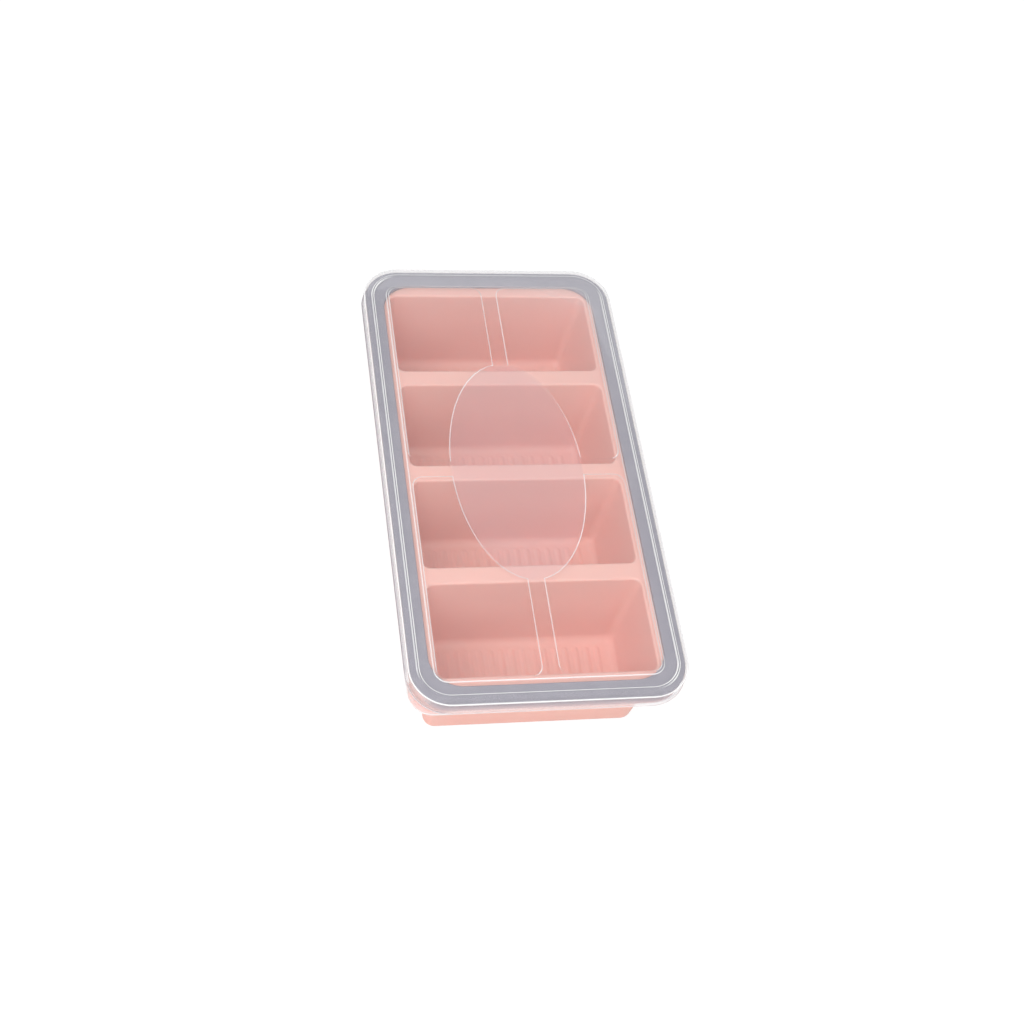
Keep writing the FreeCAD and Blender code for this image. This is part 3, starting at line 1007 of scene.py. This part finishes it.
@dataclass
class Seal:
    """The flat grey ring under the lid's border, with softly rounded edges."""

    plan: Plan
    outset: float = 0.2
    width: float = 9.5
    inner_corner: float = 16.0
    low: float = 58.1
    high: float = 60.04
    soft: float = 0.5
    ledge: float = 0.3
    finish: SealRubber = field(default_factory=SealRubber)

    def ring(self, across: float, height: float) -> np.ndarray:
        """Return the seal's outline at a place on its section.

        Its corner radius goes evenly from the outer to the inner one.

        Args:
            across: The share of the seal's width, 0 at the outside and 1 at the inside.
            height: The height.

        Returns:
            The outline's points.
        """
        outer = self.plan.rim_corner + self.outset
        corner = outer + (self.inner_corner - outer) * across
        return level(rounded_ring(self.plan.grown(self.outset - across * self.width), corner), height)

    def build(self) -> bpy.types.Object:
        """Make the seal's mesh, dress it and put it on the lid's body.

        Returns:
            The seal's object.
        """
        soft = self.soft
        inside = self.width - soft
        section = np.concatenate([
            arc((soft, self.high - soft), soft, 180.0, 90.0, SMALL_STEPS),
            [(soft + self.ledge, self.high), (inside - self.ledge, self.high)],
            arc((inside, self.high - soft), soft, 90.0, 0.0, SMALL_STEPS),
            arc((inside, self.low + soft), soft, 0.0, -90.0, SMALL_STEPS),
            [(inside - self.ledge, self.low), (soft + self.ledge, self.low)],
            arc((soft, self.low + soft), soft, -90.0, -180.0, SMALL_STEPS),
        ])
        closed = np.concatenate([section, section[:1]])
        shell = Shell()
        shell.strip(np.array([self.ring(across / self.width, height) for across, height in closed]))
        made = shell.made("seal_ring")
        made.data.materials.append(self.finish.material("grey_seal"))
        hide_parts("lid_seal")
        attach(made, "lid_body")
        return made


@dataclass
class Lid:
    """The clear moulding: skirt, border with a fine ridge, raised panel, pads round an oval, lift tab."""

    plan: Plan
    foot_outset: float = 1.9
    foot_round: float = 0.4
    # Painted highlights on the outer and the inner round of the skirt's foot.
    foot_marks: Pair = (0.8, 0.3)
    top_outset: float = 1.6
    top_round: float = 0.8
    top_ledge: float = 0.4
    # Painted highlights on the round of the border's outer top edge, from the top down.
    top_marks: tuple[float, ...] = (0.3, 0.9, 1.0, 0.7, 0.3, 0.12, 0.06)
    under_round: float = 0.5
    sheet: float = 1.2
    border: float = 61.3
    ridge_outset: float = -2.8
    ridge_wide: float = 1.3
    ridge_rise: float = 0.7
    panel_outset: float = -10.8
    panel_corner: float = 6.8
    panel_rise: float = 0.4
    pad_outset: float = -12.1
    pad_corner: float = 5.5
    pad_tip: float = 0.5
    pad_rise: float = 0.3
    groove_half: Pair = (4.2, 4.8)
    oval_half: Pair = OVAL_HALF
    oval_points: int = 40
    recess_outset: float = -11.7
    tab_thick: float = 1.3
    tab_leg: float = 20.0
    tab_corner: float = 12.0
    tab_lap: float = 0.7
    tab_lap_turn: Pair = (268.0, 182.0)
    tab_lap_steps: int = 24
    tab_edge: Pair = (0.4, 0.1)
    # Painted highlights on the tab's outer edge, ring by ring, and a painted paleness on its flat faces.
    tab_marks: tuple[float, ...] = (0.15, 0.6, 0.6, 0.6, 0.6, 0.15)
    tab_flat_mark: float = 0.2
    finish: ClearPlastic = field(default_factory=ClearPlastic)

    @property
    def panel_high(self) -> float:
        """Return the height of the panel's top."""
        return self.border + self.panel_rise

    @property
    def panel_base(self) -> float:
        """Return the corner radius that the panel's step would have at an outset of 0."""
        return self.panel_corner - self.panel_outset

    def border_section(self) -> np.ndarray:
        """Return the border and skirt, from the ridge's inside over the edge, down, under and up inside.

        Returns:
            Rows of outset, height, how strongly the point's painted highlight shows, and the way that it
            faces.
        """
        top = self.border
        foot = self.plan.skirt_foot
        under = top - self.sheet
        soft = self.foot_round
        inner_foot = self.foot_outset - self.sheet
        inner_top = self.top_outset - self.sheet
        bend = (self.top_outset - self.top_round, top - self.top_round)
        fold = (inner_top - self.under_round, under - self.under_round)
        outer_mark, inner_mark = self.foot_marks
        return np.concatenate([
            step_section(RIDGE_INSIDE, self.ridge_outset - self.ridge_wide, top, self.ridge_rise),
            step_section(RIDGE_OUTSIDE, self.ridge_outset, top, self.ridge_rise),
            marked([(bend[0] - self.top_ledge, top)], 0.0),
            marked(arc(bend, self.top_round, 90.0, 5.0, ROUND_STEPS), self.top_marks),
            # The skirt's flat parts get only faint painted highlights.
            marked(SKIRT_OUTSIDE + (self.foot_outset, foot), (0.04, 0.08)),
            marked(arc((self.foot_outset - soft, foot + soft), soft, 0.0, -90.0, SMALL_STEPS), outer_mark),
            marked(arc((inner_foot + soft, foot + soft), soft, -90.0, -180.0, SMALL_STEPS), inner_mark),
            marked(SKIRT_INSIDE + ((inner_foot, foot), (inner_top, under)), (0.03, 0.0)),
            marked(arc(fold, self.under_round, 0.0, 90.0, SMALL_STEPS), 0.0),
        ])

    def add_border(self, shell: Shell) -> np.ndarray:
        """Add the border and the skirt, whose low steps get painted highlights as strong as the way that
        they face allows.

        Args:
            shell: The shell to add to.

        Returns:
            The rings, of which the first is on the border's top and the last on its underside.
        """
        section = self.border_section()
        rings = ring_stack(self.plan.rim_half, self.plan.rim_corner, section[:, :2])
        out = mitres(rings[0, :, :2])
        facing = np.stack([glint_strength(-out), np.ones(len(out)), glint_strength(out)])
        marks, ways = section[:, 2:3], section[:, 3].astype(int)
        # Painted highlights on the ridge and skirt, weaker on steps that face the front.
        shell.strip(rings, marks * facing[ways - Facing.INWARDS])
        return rings

    def add_panel(self, shell: Shell, border: np.ndarray) -> np.ndarray:
        """Add the border's inner part and the step up to the panel.

        Args:
            shell: The shell to add to.
            border: The ring on the border's top where this begins, as a stack of one.

        Returns:
            The ring where the panel's flat top begins.
        """
        section = step_section(PANEL_STEP, self.panel_outset, self.border, self.panel_rise)
        panel = ring_stack(self.plan.rim_half, self.panel_base, section[:, :2])
        # Painted highlights on the panel's step.
        shell.strip(np.concatenate([border, panel]), np.concatenate([[0.0], section[:, 2]]))
        return panel[-1]

    def add_underside(self, shell: Shell, border: np.ndarray) -> None:
        """Add the underside, with a recess under the panel.

        Args:
            shell: The shell to add to.
            border: The ring on the border's underside where this begins, as a stack of one.
        """
        recess = step_section(RECESS_STEP, self.recess_outset, self.border - self.sheet, self.panel_rise)
        under = ring_stack(self.plan.rim_half, self.panel_base, recess)
        shell.strip(np.concatenate([border, under]))
        shell.flat(under[-1])

    def pad_outline(self, quarter: Quarter) -> np.ndarray:
        """Return one pad's outline: a rectangle with three round corners, bitten by the oval.

        The oval's part is (a cos t, b sin t) for half axes a and b, with t running from where it meets the
        channel to where it meets the cross gap.

        Args:
            quarter: The quarter of the panel that the pad is in.

        Returns:
            The anticlockwise outline.
        """
        near_x, near_y = self.groove_half
        far_x, far_y = self.plan.grown(self.pad_outset)
        r = self.pad_corner
        wide, long = self.oval_half
        sweep = np.linspace(math.acos(near_x / wide), math.asin(near_y / long), self.oval_points)
        oval = np.stack([wide * np.cos(sweep), long * np.sin(sweep)], axis=1)
        path = np.concatenate([
            arc((far_x - r, near_y + r), r, -90.0, 0.0, BROAD_STEPS),
            arc((far_x - r, far_y - r), r, 0.0, 90.0, BROAD_STEPS),
            arc((near_x + r, far_y - r), r, 90.0, 180.0, BROAD_STEPS),
            [oval[0] + (0.0, self.pad_tip)],
            oval,
            [oval[-1] + (self.pad_tip, 0.0)],
        ])
        sign_x, sign_y = quarter.value
        turned = path * (sign_x, sign_y)
        return turned if sign_x * sign_y > 0 else turned[::-1]

    def add_pads(self, shell: Shell, panel: np.ndarray) -> None:
        """Add the four pads and fill the panel's flat top between them.

        Args:
            shell: The shell to add to.
            panel: The ring where the panel's flat top begins.
        """
        section = step_section(PAD_STEP, 0.0, self.panel_high, self.pad_rise)
        holes = []
        for quarter in Quarter:
            outline = self.pad_outline(quarter)
            pad = outline_stack(outline, section[:, :2])
            # Painted highlights on each pad's step, weaker on the parts that face the front.
            shell.strip(pad, section[:, 2:] * glint_strength(mitres(outline)))
            shell.flat(pad[-1])
            holes.append(pad[0])
        shell.flat(panel, holes)

    def add_tab(self, shell: Shell) -> None:
        """Add the lift tab: the corner's square tip outside, and an arc that laps the skirt inside.

        Args:
            shell: The shell to add to.
        """
        half_x, half_y = self.plan.grown(self.foot_outset)
        radius = self.plan.rim_corner + self.foot_outset
        centre = (radius - half_x, radius - half_y)
        lap = arc(centre, radius - self.tab_lap, *self.tab_lap_turn, self.tab_lap_steps)
        corner = self.plan.front_left(self.foot_outset, self.tab_leg, self.tab_corner)
        low = self.plan.skirt_foot
        high = low + self.tab_thick
        soft, chamfer = self.tab_edge
        tab = outline_stack(np.concatenate([corner, lap]), np.array([
            (-soft, low), (-chamfer, low + chamfer), (0.0, low + soft),
            (0.0, high - soft), (-chamfer, high - chamfer), (-soft, high),
        ]))
        # Painted highlights on the tab's outer edges, and painted paleness on its flat faces.
        marks = np.zeros(tab.shape[:2])
        marks[:, :len(corner)] = np.array(self.tab_marks)[:, None]
        shell.strip(tab, marks)
        shell.flat(tab[0], (), self.tab_flat_mark)
        shell.flat(tab[-1], (), self.tab_flat_mark)

    def build(self) -> bpy.types.Object:
        """Make the lid's mesh, dress it and put it on the lid's body.

        Returns:
            The lid's object.
        """
        shell = Shell()
        rings = self.add_border(shell)
        panel = self.add_panel(shell, rings[:1])
        self.add_underside(shell, rings[-1:])
        self.add_pads(shell, panel)
        self.add_tab(shell)
        made = shell.made("clear_lid")
        made.data.materials.append(self.finish.material("clear_plastic"))
        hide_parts("lid")
        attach(made, "lid_body")
        return made


@dataclass(frozen=True)
class Softbox:
    """A square light that looks at the object, with its place and side in metres and its power in watts."""

    name: str
    place: Triple
    side: float
    power: float

    def hang(self) -> None:
        """Hang the light, turned so that its back points along the line from the origin to its place."""
        light = bpy.data.lights.new(self.name, "AREA")
        light.shape = "SQUARE"
        light.size = self.side
        light.energy = self.power
        made = bpy.data.objects.new(self.name, light)
        bpy.context.scene.collection.objects.link(made)
        turn = Vector(self.place).to_track_quat("Z", "Y").to_matrix().to_4x4()
        made.matrix_world = Matrix.Translation(self.place) @ turn


@dataclass
class Studio:
    """The floor, the lights, the world and the camera, in metres and degrees."""

    floor_side: float = 6.0
    floor_height: float = -0.0002
    ambient: float = 0.42
    lights: tuple[Softbox, ...] = (
        Softbox("key_light", (-0.82, -0.38, 1.07), 0.8, 5.8),
        Softbox("front_light", (0.0, -1.07, 0.9), 0.8, 6.0),
        Softbox("top_light", (-0.25, -0.35, 1.35), 0.9, 5.8),
    )
    tilt: float = 55.81
    yaw: float = 20.34
    roll: float = -15.94
    lens: float = 58.65
    sensor: float = 36.0
    shift: float = 0.05
    nearest: float = 0.01
    eye: Triple = (-0.1962, -0.4668, 0.7533)
    paper: StudioPaper = field(default_factory=StudioPaper)

    def floor(self) -> None:
        """Lay the paper."""
        side = self.floor_side / 2
        corners = np.array([(-side, -side), (side, -side), (side, side), (-side, side)])
        mesh = bpy.data.meshes.new("studio_floor")
        mesh.from_pydata(level(corners, self.floor_height), [], [(0, 1, 2, 3)])
        made = bpy.data.objects.new("studio_floor", mesh)
        bpy.context.scene.collection.objects.link(made)
        mesh.materials.append(self.paper.material("studio_paper"))

    def world(self) -> None:
        """Make a soft surrounding that is plain white wherever it is seen, also in or through a surface."""
        world = bpy.data.worlds.new("studio_world")
        bpy.context.scene.world = world
        net = Net(world)
        seen = net.ray("Is Camera Ray") + net.ray("Is Glossy Ray") + net.ray("Is Transmission Ray")
        strength = seen.at_most(1.0) * (1.0 - self.ambient) + self.ambient
        shade = net.node("ShaderNodeBackground", {}, {"Color": (1.0, 1.0, 1.0, 1.0), "Strength": strength})
        net.surface(shade, "ShaderNodeOutputWorld")

    def camera(self) -> None:
        """Put the camera where the photograph was taken from.

        The view looks along (sin yaw cos tilt, cos yaw cos tilt, -sin tilt), and its right hand is level
        before the roll turns it about that line.
        """
        tilt, yaw, roll = (math.radians(angle) for angle in (self.tilt, self.yaw, self.roll))
        ahead = Vector((math.sin(yaw) * math.cos(tilt), math.cos(yaw) * math.cos(tilt), -math.sin(tilt)))
        right_level = Vector((math.cos(yaw), -math.sin(yaw), 0.0))
        down_level = ahead.cross(right_level)
        right = math.cos(roll) * right_level + math.sin(roll) * down_level
        down = math.cos(roll) * down_level - math.sin(roll) * right_level
        data = bpy.data.cameras.new("photo_camera")
        data.lens = self.lens
        data.sensor_width = self.sensor
        data.shift_x = self.shift
        data.clip_start = self.nearest
        made = bpy.data.objects.new("photo_camera", data)
        bpy.context.scene.collection.objects.link(made)
        turn = Matrix((right, -down, -ahead)).transposed().to_4x4()
        made.matrix_world = Matrix.Translation(self.eye) @ turn
        bpy.context.scene.camera = made

    def build(self) -> None:
        """Set up the studio."""
        self.floor()
        for light in self.lights:
            light.hang()
        self.world()
        self.camera()
        bpy.context.scene.view_settings.view_transform = "Standard"


def main() -> None:
    """Build the studio and the object in order."""
    logging.basicConfig(level=logging.INFO, format="%(message)s")
    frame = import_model()
    Studio().build()
    plan = Plan()
    for part in (Tray(plan), Seal(plan), Lid(plan)):
        made = part.build()
        LOG.info("built %s", made.name)
    wire = frame["nodes"]["rim_frame"]
    wire.data.materials.clear()
    wire.data.materials.append(DrawnWire().material("drawn_wire"))
    LOG.info("dressed %s", wire.name)


if __name__ == "__main__":
    main()
